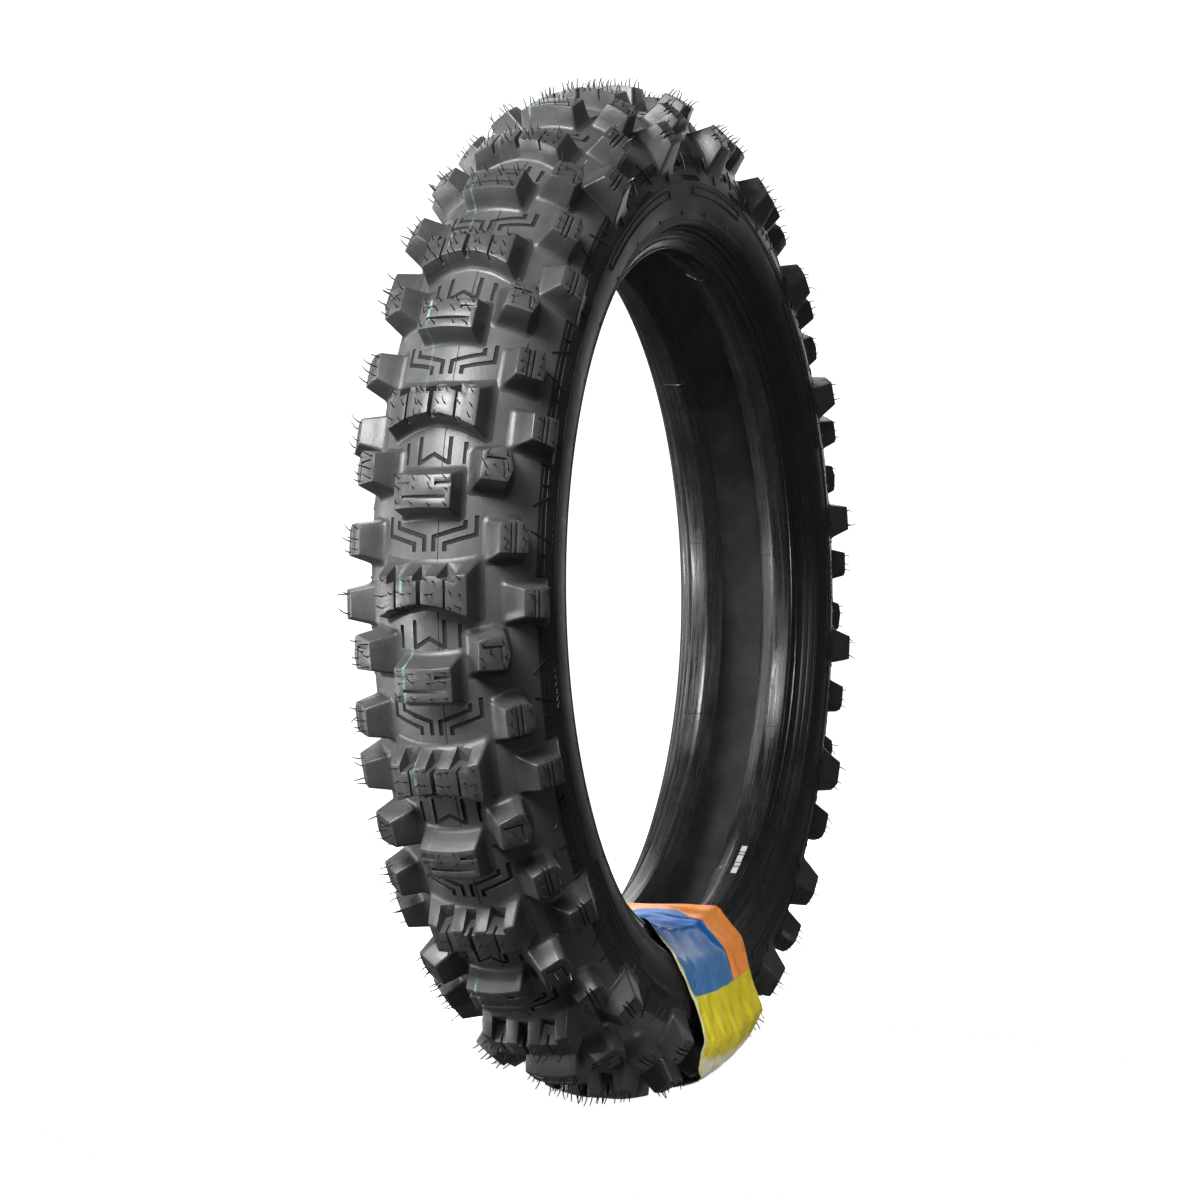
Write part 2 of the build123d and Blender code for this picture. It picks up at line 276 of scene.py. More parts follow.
def knob_body(seat, foot, top, height, corner=1.2, grain=5.0):
    """Closed knob in plane coordinates: foot fillet, walls, rounded edge and curved top."""
    if area(foot) < 0:
        foot, top = foot[::-1], top[::-1]
    top_ring, pattern = soften(top, corner, grain)
    foot_ring, _ = soften(foot, corner * 1.6, grain, pattern)
    rings = []
    levels = [(FOOT_FILLET + 0.3, -1.6), (FOOT_FILLET + 0.3, -0.2)]
    for a in (20, 40, 60, 80):
        s, c = math.sin(math.radians(a)), math.cos(math.radians(a))
        levels.append((FOOT_FILLET * (1 - s), FOOT_FILLET * (1 - c)))
    levels += [(0.0, height * 0.45), (0.0, height - EDGE_ROUND)]
    for a in (45, 90):
        s, c = math.sin(math.radians(a)), math.cos(math.radians(a))
        levels.append((-EDGE_ROUND * (1 - c), height - EDGE_ROUND + EDGE_ROUND * s))
    for out, level in levels:
        ring = spread(wall_ring(seat, foot_ring, top_ring, height, level), out)
        rings.append([(x, t, seat.lift(x, t, level)) for x, t in ring])
    n = len(rings[0])
    verts = [p for ring in rings for p in ring]
    faces = []
    for i in range(len(rings) - 1):
        for j in range(n):
            k = (j + 1) % n
            faces.append([i * n + j, i * n + k, (i + 1) * n + k, (i + 1) * n + j])
    for first, level in ((0, levels[0][1]), ((len(rings) - 1) * n, height)):
        flat, cap, origin = fill([p[:2] for p in verts[first:first + n]], grain)
        index = {}
        for i, (x, t) in enumerate(flat):
            source = [o for o in origin[i] if o < n]
            if source:
                index[i] = first + source[0]
            else:
                index[i] = len(verts)
                verts.append((x, t, seat.lift(x, t, level)))
        faces += [[index[v] for v in (f if first else f[::-1])] for f in cap]
    return verts, faces


def frustum(low, high, z_low, z_high):
    """Cutter between two outlines with as many corners each."""
    n = len(low)
    verts = [(x, t, z_low) for x, t in low] + [(x, t, z_high) for x, t in high]
    faces = [list(range(n))[::-1], list(range(n, 2 * n))]
    for i in range(n):
        j = (i + 1) % n
        faces.append([i, j, n + j, n + i])
    return verts, faces


def box_cut(x, t, length, width, z_low, z_high, flare=0.0):
    """Straight groove cutter, wider at its top by flare on each side."""
    a, b = length / 2, width / 2
    low = [(x - a, t - b), (x + a, t - b), (x + a, t + b), (x - a, t + b)]
    a, b = a + flare, b + flare
    high = [(x - a, t - b), (x + a, t - b), (x + a, t + b), (x - a, t + b)]
    return frustum(low, high, z_low, z_high)


def mesh_from(parts, name):
    mesh = bpy.data.meshes.new(name)
    mesh.from_pydata(parts[0], [], parts[1])
    bm = bmesh.new()
    bm.from_mesh(mesh)
    bmesh.ops.recalc_face_normals(bm, faces=bm.faces)
    bm.to_mesh(mesh)
    bm.free()
    obj = bpy.data.objects.new(name, mesh)
    bpy.context.collection.objects.link(obj)
    return obj


def carve(parts, cutters, seat, round_off=0.3):
    """Take the cutters out of a knob and round the new edges."""
    body = mesh_from(parts, "carve_body")
    tools = []
    for cutter in cutters:
        tool = mesh_from(cutter, "carve_tool")
        tools.append(tool)
        modifier = body.modifiers.new("cut", "BOOLEAN")
        modifier.operation = "DIFFERENCE"
        modifier.solver = "EXACT"
        modifier.object = tool
    shape = body.evaluated_get(bpy.context.evaluated_depsgraph_get())
    mesh = bpy.data.meshes.new_from_object(shape)
    bm = bmesh.new()
    bm.from_mesh(mesh)
    bmesh.ops.remove_doubles(bm, verts=bm.verts, dist=0.02)
    bmesh.ops.dissolve_degenerate(bm, dist=0.02, edges=bm.edges)
    sharp = []
    for edge in bm.edges:
        middle = (edge.verts[0].co + edge.verts[1].co) / 2
        high = casing_height(seat.point(*middle)) > 1.0
        if len(edge.link_faces) == 2 and high and edge.calc_face_angle(0.0) > math.radians(40):
            sharp.append(edge)
    bmesh.ops.bevel(bm, geom=sharp, offset=round_off, offset_type="OFFSET", segments=2,
                    profile=0.5, affect="EDGES", clamp_overlap=True)
    verts = [tuple(v.co) for v in bm.verts]
    bm.verts.index_update()
    faces = [[v.index for v in f.verts] for f in bm.faces]
    bm.free()
    bpy.data.meshes.remove(mesh)
    for tool in tools + [body]:
        bpy.data.objects.remove(tool)
    return verts, faces


def hair(seat, x, t, height, length, lean):
    """Thin bent rubber hair left by a mould vent, in plane coordinates."""
    z = seat.lift(x, t, height)
    bend = Vector((lean[0], lean[1], 0.0)) * length
    rows, sides = 5, 5
    verts, faces = [], []
    for i in range(rows):
        u = i / (rows - 1)
        radius = 0.50 - 0.2 * u
        centre = Vector((x, t, z - 0.4)) + bend * u * u + Vector((0, 0, (length + 0.4) * u))
        for j in range(sides):
            a = 2 * math.pi * j / sides
            verts.append((centre.x + radius * math.cos(a), centre.y + radius * math.sin(a), centre.z))
    for i in range(rows - 1):
        for j in range(sides):
            k = (j + 1) % sides
            faces.append([i * sides + j, i * sides + k, (i + 1) * sides + k, (i + 1) * sides + j])
    faces.append(list(range(sides))[::-1])
    faces.append([(rows - 1) * sides + j for j in range(sides)])
    return verts, faces


# outlines on each knob's own plane: forward round the tyre, then outwards across it
BAR_TOP = [(15.2, -27.6), (10.4, -13.8), (8.3, 0), (10.4, 13.8),
           (15.2, 27.6), (-5.2, 27.6), (-7.8, 0), (-5.2, -27.6)]
BAR_FOOT = [(16.8, -28.6), (11.6, -13.8), (9.6, 0), (11.6, 13.8),
            (16.8, 28.6), (-13.4, 28.6), (-14.8, 0), (-13.4, -28.6)]
BLOCK_TOP = [(9.6, -17.8), (9.6, 17.8), (-9.6, 17.8), (-9.6, -17.8)]
BLOCK_FOOT = [(12.0, -18.4), (12.0, 18.4), (-15.0, 18.4), (-15.0, -18.4)]
INNER_TOP = [(8.4, -9.4), (8.6, 7.4), (0.7, 9.9), (-10.8, 7.4), (-12.0, 3.6), (-8.6, -8.6)]
INNER_FOOT = [(12.4, -11.5), (12.6, 9.5), (2.0, 12.0), (-13.5, 9.5), (-14.5, 4.0), (-11.5, -11.5)]
MIDDLE_TOP = [(-7.9, -8.7), (-10.0, 0), (-9.5, 6.4), (-5.9, 9.4), (8.2, 9.7), (9.2, -8.4)]
MIDDLE_FOOT = [(-10.8, -10.5), (-13.0, 0), (-12.5, 7.5), (-8.0, 11.5), (12.0, 11.8), (13.0, -10.5)]
OUTER_TOP = [(7.9, -8.5), (8.9, 8.4), (-8.6, 8.4), (-8.1, -8.5)]
OUTER_FOOT = [(11.5, -12.5), (12.5, 17.0), (-12.0, 17.0), (-11.5, -12.5)]


def bar_cuts(height):
    cuts = [box_cut(0, 0, 60, 2.4, height - 7, height + 9, 0.5)]
    for t in (-15.5, 15.5):
        cuts.append(box_cut(0, t, 60, 1.2, height - 8.5, height + 9, 0.3))
    for t, half, slant in ((0.0, 3.3, 0.0), (16.4, 4.8, 1.7), (-16.4, 4.8, -1.7)):
        drop = SECTION_R - math.sqrt(SECTION_R ** 2 - t ** 2)
        low = [(-36, t - half), (-5.6 - slant, t - half), (-5.6 + slant, t + half), (-36, t + half)]
        half += 0.7
        high = [(-36, t - half), (-4.0 - slant, t - half), (-4.0 + slant, t + half), (-36, t + half)]
        cuts.append(frustum(low, high, 1.5 - drop, 22))
    return cuts


def block_cuts(height):
    cuts = [box_cut(3.4, 1.2, 2.0, 27.0, height - 2.8, height + 6, 0.3)]
    for t in (14.6, -14.6):
        cuts.append(box_cut(-4.4, t, 2.2, 13.0, height - 2.6, height + 6, 0.3))
    return cuts


def inner_cuts(height):
    across = box_cut(-4.6, -0.6, 1.3, 11.6, height - 1.8, height + 6, 0.3)
    low = [(-4.6, 3.4), (6.2, 4.4), (6.2, 5.6), (-4.6, 4.8)]
    leg = frustum(low, spread(low, 0.3), height - 1.8, height + 6)
    return [across, leg]


def middle_cuts(height):
    return [box_cut(0, t, 30, 0.9, height - 2.6, height + 6, 0.4) for t in (-1.4, 1.6)]


def outer_cuts(height):
    return [box_cut(0, t, 30, 1.0, height - 2.6, height + 6, 0.4) for t in (-1.2, 1.8)]


def grid_spots(xs, ts):
    return [(x, t) for x in xs for t in ts]


WIDEST_HAIR = 69.4

KNOBS = {
    "centre_bars": dict(
        angle=0.0, lean=0.0, height=14.2, top=BAR_TOP, foot=BAR_FOOT, cuts=bar_cuts, sides=(1,),
        hairs=grid_spots((10.6, 3.2, -5.0), (-24.6, -9.2, -5.2, 5.2, 9.2, 24.6))
        + grid_spots((11.6, 2.6), (-18.6, 18.6))),
    "centre_blocks": dict(
        angle=-9.39, lean=0.0, height=14.5, top=BLOCK_TOP, foot=BLOCK_FOOT, cuts=block_cuts, sides=(1,),
        hairs=grid_spots((7.6, -1.6, -7.6), (-15.0, -5.4, 5.4, 15.0))),
    "inner_shoulder_knobs": dict(
        angle=-6.6, lean=34.5, height=17.0, top=INNER_TOP, foot=INNER_FOOT, cuts=inner_cuts, sides=(1, -1),
        hairs=[(6.0, -6.6), (6.4, 4.8), (-8.0, 5.4), (-6.8, -6.4), (-1.6, -2.0), (1.6, 6.8), (1.0, -6.8)]),
    "middle_shoulder_knobs": dict(
        angle=-13.7, lean=44.5, height=15.3, top=MIDDLE_TOP, foot=MIDDLE_FOOT, cuts=middle_cuts,
        sides=(1, -1),
        hairs=[(6.4, -5.6), (0.0, -5.8), (-6.4, -5.4), (6.2, 6.2), (0.0, 6.0), (-5.4, 6.0)]),
    "outer_shoulder_knobs": dict(
        angle=-1.5, lean=57.0, height=14.8, top=OUTER_TOP, foot=OUTER_FOOT, cuts=outer_cuts, sides=(1, -1),
        hairs=[(5.8, -5.6), (-5.8, -5.6), (6.2, 5.8), (-6.0, 5.8)]),
}


def grown_hairs(seat, spots, height, angle, side):
    """A knob row's vent hairs, each bent its own way and none reaching the ground."""
    verts, faces = [], []
    for i in range(PITCH_COUNT):
        for x, t in spots:
            length = rng.uniform(3.4, 6.4)
            lean = (rng.gauss(-0.3, 0.25), rng.gauss(0.0, 0.22))
            dx, dt = rng.uniform(-0.7, 0.7), rng.uniform(-0.7, 0.7)
            points, strand = hair(seat, x + dx, t + dt, height, length, lean)
            points = [seat.point(*p) for p in points]
            if max(p[1] for p in points) > WIDEST_HAIR:
                points = [seat.point(*p) for p in hair(seat, x + dx, t + dt, height, 0.5 * length, lean)[0]]
            points = turn([(a, side * b, c) for a, b, c in points], angle + i * PITCH_ANGLE)
            wrap = (SECTION_R + height) * math.asin(abs(points[0][1]) / (SECTION_R + height + 1))
            covered = along(FILM_FAR, wrap) - 3 < points[0][0] < along(FILM_NEAR, wrap) + 3
            if min(p[2] for p in points) < FLOOR_Z / MM + 0.2 or (points[0][2] < 0 and covered):
                continue
            start = len(verts)
            verts += points
            faces += [[start + v for v in f] for f in strand]
    return verts, faces


knob_objects = []
hair_objects = []
for row, spec in KNOBS.items():
    seat = Seat(spec["lean"])
    plain = knob_body(seat, spec["foot"], spec["top"], spec["height"])
    verts, faces = carve(plain, spec["cuts"](spec["height"]), seat)
    for side in spec["sides"]:
        name = row if len(spec["sides"]) == 1 else row + ("_left" if side > 0 else "_right")
        placed = [seat.point(*p) for p in verts]
        placed = [(x, side * y, z) for x, y, z in placed]
        obj = new_object(name + "_moulded", *round_the_tyre((placed, faces), spec["angle"]))
        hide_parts(name)
        knob_objects.append(obj)
        strands = grown_hairs(seat, spec["hairs"], spec["height"], spec["angle"], side)
        hair_objects.append(new_object(name + "_vent_hairs", *strands))


# ------------------------------------------------------------ tread floor
def stroke(corners, width):
    """Closed outline of a line of the given width, cut short enough to follow the casing."""
    points = [corners[0]]
    for a, b in zip(corners, corners[1:]):
        a, b = Vector(a), Vector(b)
        count = max(1, round((b - a).length / 3.0))
        points += [tuple(a.lerp(b, k / count)) for k in range(1, count + 1)]
    left, right = [], []
    for i, p in enumerate(points):
        p = Vector(p)
        before = (p - Vector(points[i - 1])).normalized() if i else None
        after = (Vector(points[i + 1]) - p).normalized() if i + 1 < len(points) else None
        d = before or after
        if before and after:
            d = (before + after).normalized()
        n = Vector((-d.y, d.x))
        half = width / 2
        if before and after:
            half /= max(0.4, n.dot(Vector((-after.y, after.x))))
        left.append(tuple(p + n * half))
        right.append(tuple(p - n * half))
    return left + right[::-1]


def engraving():
    """Lines sunk into the tread floor: (y, degrees round the tyre) and width."""
    lines = []
    for side in (1, -1):
        lines.append(([(side * 18.4, -3.6), (side * 18.4, -6.0)], 2.7))
        inner = [(side * 2.9, -15.1), (side * 2.9, -13.6), (side * 21, -12.55), (side * 21, -11.8)]
        outer = [(side * 9.6, -15.1), (side * 9.6, -14.3), (side * 27, -13.3), (side * 27, -11.3)]
        lines.append((inner, 2.7))
        lines.append((outer, 2.7))
    chevron = [(-9.4, -3.1), (-9.4, -5.95), (0, -5.0), (9.4, -5.95), (9.4, -3.1)]
    lines.append((chevron, 2.6))
    return lines


def tread_floor():
    """One repeat of the tread base about the top of the wheel, with its sunk lines."""
    per_degree = math.pi / 180 * (CENTRE_R + SECTION_R)
    per_phi = math.pi / 180 * SECTION_R
    start = -16.4
    width = PITCH_ANGLE * per_degree
    reach = TREAD_HALF_ANGLE * per_phi
    depth = 0.8
    columns, rows = 28, 38
    points, heights, edges = [], [], []

    def add_loop(loop, height):
        first = len(points)
        points.extend(Vector(p) for p in loop)
        heights.extend([height] * len(loop))
        edges.extend((first + k, first + (k + 1) % len(loop)) for k in range(len(loop)))

    def grid_point(i, j):
        return (width * i / columns, reach * (2 * j / rows - 1))

    border = [grid_point(0, j) for j in range(rows, 0, -1)]
    border += [grid_point(i, 0) for i in range(columns)]
    border += [grid_point(columns, j) for j in range(rows)]
    border += [grid_point(i, rows) for i in range(columns, 0, -1)]
    add_loop(border, 0.0)
    zones = []
    for line, line_width in engraving():
        path = []
        for y, angle in line:
            phi = math.asin(y / SECTION_R)
            path.append(((angle - start) * per_degree, math.degrees(phi) * per_phi))
        top = stroke(path, line_width)
        if area(top) < 0:
            top = top[::-1]
        add_loop(top, 0.0)
        add_loop(spread(top, -0.22), -depth)
        zones.append(spread(top, 0.8))
    for i in range(1, columns):
        for j in range(1, rows):
            p = grid_point(i, j)
            if not any(inside(p, zone) for zone in zones):
                points.append(Vector(p))
                heights.append(0.0)
    flat, _, triangles, origins = delaunay_2d_cdt(points, edges, [], 0, 1e-4)[:4]
    verts = []
    for p, origin in zip(flat, origins):
        height = heights[origin[0]] if origin else 0.0
        verts.append(on_casing(90.0 + start + p.x / per_degree, p.y / per_phi, height))
    faces = [list(f) for f in triangles]
    first = len(verts)
    back_rows = 13
    levels = [(-TREAD_HALF_ANGLE, 0.0)]
    for j in range(back_rows):
        levels.append((TREAD_HALF_ANGLE * (2 * j / (back_rows - 1) - 1), -2.4))
    levels.append((TREAD_HALF_ANGLE, 0.0))
    for phi, height in levels:
        for i in range(columns + 1):
            verts.append(on_casing(90.0 + start + PITCH_ANGLE * i / columns, phi, height))
    for j in range(len(levels) - 1):
        for i in range(columns):
            a = first + j * (columns + 1) + i
            faces.append([a, a + 1, a + columns + 2, a + columns + 1])
    return verts, faces


tread = new_object("tread_base_moulded", *round_the_tyre(tread_floor(), 0.0), weld=0.01)
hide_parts("tread_base")


# ------------------------------------------------------------ sidewalls and beads
def arc(centre, radius, start, end, steps):
    """Points on a circle of the section; angles in degrees, 0 at +y and 90 at +radius."""
    points = []
    for i in range(steps + 1):
        a = math.radians(start + (end - start) * i / steps)
        points.append((centre[0] + radius * math.cos(a), centre[1] + radius * math.sin(a)))
    return points


def along_casing(phi, height=0.0):
    reach = SECTION_R + height
    a = math.radians(phi)
    return (reach * math.sin(a), CENTRE_R + reach * math.cos(a))


def with_relief(start, end, reliefs):
    """Casing profile between two section angles with raised or sunk bands.

    Each relief is the angle of its middle, its half-width in degrees and its height.
    """
    stops = {start, end}
    for middle, half, height in reliefs:
        stops.update((middle - half - 0.35, middle - half, middle + half, middle + half + 0.35))
    angle = start
    while angle < end:
        stops.add(round(angle, 3))
        angle += 2.5
    profile = []
    for phi in sorted(stops):
        if not start <= phi <= end:
            continue
        raised = 0.0
        for middle, half, height in reliefs:
            if abs(phi - middle) <= half + 1e-6:
                raised += height
        profile.append(along_casing(phi, raised))
    return profile


SIDE_RELIEF = [
    (70.0, 0.45, 0.45),
    (73.4, 0.35, -0.45),
    (85.2, 0.4, 0.4),
    (97.4, 9.6, -0.3),
    (109.4, 0.35, 0.35),
    (111.4, 0.35, 0.35),
]


def sidewall(side):
    outer = with_relief(TREAD_HALF_ANGLE, 113.0, SIDE_RELIEF)
    outer.append((51.53, 245.0))
    inner = [(y - 2.4 * (y / 57.5), r + (1.2 if r < 255 else 0.0)) for y, r in reversed(outer)]
    inner[0] = (48.9, 245.0)
    profile = [(side * y, r) for y, r in outer + inner]
    name = "sidewall_" + ("left" if side > 0 else "right")
    obj = lathe(name + "_moulded", profile)
    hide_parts(name)
    return obj


def seat_radius(y):
    """The bead seat, a little narrower at its toe than at its heel."""
    return 228.1 + 0.078 * (abs(y) - 25.9)


def bead(side):
    """Chafer skin round the bead: flank, rim ribs, seat, toe and inner slope."""
    outer = [(51.53, 245.0), (50.3, 244.1), (49.3, 243.9), (48.2, 242.7), (46.6, 241.5), (45.5, 241.3)]
    outer += [(44.7, 240.1), (43.9, 239.3), (43.2, 238.3), (42.6, 237.4)]
    outer += [(42.5, 236.9), (42.9, 236.5), (42.7, 235.7), (41.9, 235.7)]
    outer += [(40.3, 232.2), (40.1, 231.6), (40.6, 231.2), (40.3, 230.4), (39.5, 230.6)]
    outer += [(39.0, 229.9), (38.4, 229.25), (37.6, seat_radius(37.6))]
    outer += [(y, seat_radius(y)) for y in (34.4, 34.0, 33.6, 29.6, 29.3, 25.9)]
    outer += [(25.2, 228.35), (22.0, 230.0), (18.8, 231.7), (15.9, 233.2), (15.5, 233.6), (15.7, 233.9)]
    outer += [(22.0, 237.6), (28.0, 241.3), (33.84, 245.0)]
    inner = [(36.2, 245.0), (29.5, 240.8), (20.0, 234.9), (26.0, 231.6), (34.0, 231.0)]
    inner += [(37.0, 231.8), (39.2, 237.6), (42.8, 242.3), (48.9, 245.0)]
    profile = [(side * y, r) for y, r in outer + inner]
    name = "chafer_" + ("left" if side > 0 else "right")
    obj = lathe(name + "_moulded", profile)
    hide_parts(name)
    return obj


def flash_lines(side):
    """Thin ridges across the bead where the mould's segments meet."""
    path = [(41.2, 234.2), (38.9, 229.8), (37.4, 229.0), (32.0, 228.6),
            (26.4, 228.2), (24.4, 228.8), (19.0, 231.6),
            (16.2, 233.1)]
    verts, faces = [], []
    for i in range(11):
        turned = math.radians(8.0 + i * 360 / 11 + side * 1.2)
        start = len(verts)
        for y, r in path:
            for shift, lift in ((-0.35, -0.2), (0.0, 0.32), (0.35, -0.2)):
                a = turned + shift / r
                top = r - lift
                verts.append((top * math.cos(a), side * y, top * math.sin(a)))
        for k in range(len(path) - 1):
            for j in range(3):
                m = (j + 1) % 3
                here = start + 3 * k
                faces.append([here + j, here + m, here + 3 + m, here + 3 + j])
        faces += [[start, start + 1, start + 2], [start + 3 * len(path) - 3 + j for j in (2, 1, 0)]]
    return new_object("bead_flash_" + ("left" if side > 0 else "right"), verts, faces)


def label_marks():
    """Row of plain white dashes printed on the left bead seat."""
    verts, faces = [], []
    angle = 232.8
    for length, low, high in ((1.5, 31.4, 35.6), (0.5, 31.4, 35.6), (1.9, 31.2, 35.4),
                              (1.0, 31.5, 35.7), (1.8, 31.3, 35.5)):
        start = len(verts)
        steps = 4
        for i in range(steps + 1):
            a = math.radians(angle + length * i / steps)
            for y, lift in ((low, 0.1), (high, 0.1), (high, -0.1), (low, -0.1)):
                r = seat_radius(y) - lift
                verts.append((r * math.cos(a), y, r * math.sin(a)))
        for i in range(steps):
            for j in range(4):
                m = (j + 1) % 4
                here = start + 4 * i
                faces.append([here + j, here + m, here + 4 + m, here + 4 + j])
        faces += [[start + j for j in range(4)], [start + 4 * steps + j for j in (3, 2, 1, 0)]]
        angle += length + 0.28
    return new_object("bead_label_dashes", verts, faces)


side_objects = [sidewall(1), sidewall(-1)]
bead_objects = [bead(1), bead(-1), flash_lines(1), flash_lines(-1)]
label = label_marks()
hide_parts("bead_label")


def strip(path, width, height):
    """Low raised bar along a path of (angle round the tyre, section angle) on the casing."""
    verts, faces = [], []
    count = len(path)
    for i, (angle, phi) in enumerate(path):
        before = path[max(0, i - 1)]
        after = path[min(count - 1, i + 1)]
        per_degree = math.pi / 180 * (CENTRE_R + SECTION_R * math.cos(math.radians(phi)))
        per_phi = math.pi / 180 * SECTION_R
        d = Vector(((after[0] - before[0]) * per_degree, (after[1] - before[1]) * per_phi)).normalized()
        n = Vector((-d.y, d.x))
        taper = width / 2 if 0 < i < count - 1 else width / 5
        for share, level in ((-1, -0.3), (-0.55, height), (0.55, height), (1, -0.3)):
            a = angle + n.x * share * taper / per_degree
            b = phi + n.y * share * taper / per_phi
            verts.append(on_casing(90.0 + a, b, level))
    for i in range(count - 1):
        for j in range(4):
            k = (j + 1) % 4
            faces.append([4 * i + j, 4 * i + k, 4 * i + 4 + k, 4 * i + 4 + j])
    faces += [[3, 2, 1, 0], [4 * count - 4 + j for j in range(4)]]
    return verts, faces


def joined(parts):
    verts, faces = [], []
    for some_verts, some_faces in parts:
        start = len(verts)
        verts += some_verts
        faces += [[start + v for v in f] for f in some_faces]
    return verts, faces


def mirrored(parts, side):
    verts, faces = parts
    return [(x, side * y, z) for x, y, z in verts], faces


def frame_lines(start, end, low, high):
    """Plain raised outline of a curved panel between two angles on the sidewall."""
    steps = max(4, round((end - start) / 2))
    angles = [start + (end - start) * i / steps for i in range(steps + 1)]
    parts = [strip([(a, phi) for a in angles], 0.9, 0.2) for phi in (low, high)]
    parts += [strip([(a, low), (a, (low + high) / 2), (a, high)], 0.9, 0.2) for a in (start, end)]
    return parts


def side_trim(side):
    """Pointed fins under the knobs, all round the shoulder."""
    parts = []
    for offset, low, high, wide in ((-4.4, 66.0, 76.5, 2.8), (-1.5, 69.5, 83.0, 3.4), (1.6, 66.0, 77.5, 2.8),
                                    (-6.9, 68.0, 74.5, 1.6), (4.1, 68.0, 74.5, 1.6)):
        middle = (low + high) / 2
        parts.append(strip([(offset, low), (offset * 0.98, middle), (offset * 0.95, high)], wide, 0.9))
    parts.append(strip([(-9.6, 62.0), (-8.6, 70.0), (-7.7, 78.5)], 2.2, 0.7))
    parts.append(strip([(-12.4, 61.5), (-12.8, 69.5), (-13.4, 77.0)], 2.2, 0.7))
    for k in range(7):
        start = -14.5 + 0.9 * k
        parts.append(strip([(start, 80.6), (start + 0.5, 82.6), (start + 0.8, 84.2)], 1.0, 0.35))
    return round_the_tyre(mirrored(joined(parts), side), 0.0)


def panels(side):
    """Plain outlined panels where a maker's wording would stand."""
    parts = []
    for start, end in ((48, 74), (84, 104), (128, 156), (168, 186), (226, 252), (300, 322)):
        parts += frame_lines(start - 90.0, end - 90.0, 88.5, 93.5)
    for k in range(36):
        parts.append(strip([(10.0 * k, 104.6), (10.0 * k, 105.6), (10.0 * k, 106.8)], 0.8, 0.25))
    return mirrored(joined(parts), side)


trim_objects = []
for side, word in ((1, "left"), (-1, "right")):
    trim_objects.append(new_object("buttress_fins_" + word, *side_trim(side)))
    trim_objects.append(new_object("sidewall_panels_" + word, *panels(side)))


def ring_line(phi, radius, name):
    """Fine raised line all round the tyre."""
    y, r = along_casing(phi)
    profile = arc((y, r), radius, 0, 315, 7)
    return lathe(name, profile, 456, 80)


seam = ring_line(math.degrees(math.asin(5.5 / SECTION_R)), 0.28, "mould_parting_line")


# ------------------------------------------------------------ film sleeve
FILM_LOOP = [
    (0, 341.0), (12, 340.6), (24, 338.6), (34, 335.5), (42.5, 331.4), (49.6, 326.6), (54.8, 320.6),
    (58.9, 313.8), (62.9, 307.2), (65.6, 301.2), (66.0, 297.4), (64.6, 291.5), (61.6, 279.0),
    (59.6, 268.0), (57.8, 257.0), (55.2, 246.6), (50.0, 239.4), (44.2, 232.2), (40.6, 228.0),
    (36.8, 226.4), (26.0, 226.4), (13.0, 225.6), (0, 225.3),
]


def smooth_loop(points, count):
    """Closed, evenly stepped curve through the points and their mirror images."""
    whole = points + [(-y, r) for y, r in points[-2:0:-1]]
    dense = []
    n = len(whole)
    for i in range(n):
        p0, p1, p2, p3 = (Vector(whole[(i + k) % n]) for k in (-1, 0, 1, 2))
        for k in range(12):
            u = k / 12
            dense.append(0.5 * (2 * p1 + (p2 - p0) * u + (2 * p0 - 5 * p1 + 4 * p2 - p3) * u * u
                                + (3 * p1 - p0 - 3 * p2 + p3) * u ** 3))
    lengths = [0.0]
    for a, b in zip(dense, dense[1:] + dense[:1]):
        lengths.append(lengths[-1] + (b - a).length)
    total = lengths[-1]
    result = []
    j = 0
    for i in range(count):
        want = total * i / count
        while lengths[j + 1] < want:
            j += 1
        u = (want - lengths[j]) / (lengths[j + 1] - lengths[j])
        result.append(dense[j].lerp(dense[(j + 1) % len(dense)], u))
    return result, total


FILM_ORANGE = [(0, -38), (116, -38), (128, -36), (140, -33), (158, -27), (173, -36), (190, -49), (220, -51)]
FILM_FOLDS = [
    ((214, -34), (186, -24), 4.2, 1.6), ((186, -24), (160, -18), 3.8, 1.8),
    ((160, -18), (134, -34), 3.6, 1.5),
    ((134, -34), (114, -37), 3.0, 0.9), ((108, 34), (64, 20), 2.6, 1.3), ((111, 14), (86, 4), 2.4, 1.2),
    ((86, 4), (58, -14), 3.0, 1.5), ((109, -12), (84, -20), 2.2, 1.3), ((84, -20), (52, -44), 2.8, 1.2),
    ((104, -44), (66, -60), 3.0, 0.9), ((200, 40), (150, 58), 5.0, 1.2), ((205, 8), (160, 26), 4.0, 1.0),
    ((138, 44), (112, 20), 3.2, 0.8), ((132, 8), (110, -10), 2.6, 0.7), ((96, 30), (74, 36), 1.8, 0.8),
]


def fold_depth(place, x):
    depth = 0.0
    for start, end, wide, deep in FILM_FOLDS:
        a, b, p = Vector(start), Vector(end), Vector((place, x))
        share = (p - a).dot(b - a) / (b - a).length_squared
        if -0.3 < share < 1.3:
            gap = (b - a).cross(p - a) / (b - a).length / wide
            fade = math.cos(math.pi * (share - 0.5) / 1.6) ** 2
            depth += deep * fade * (math.exp(-abs(gap) ** 1.3) - 0.55 * math.exp(-(gap - 1.7) ** 2))
    return depth


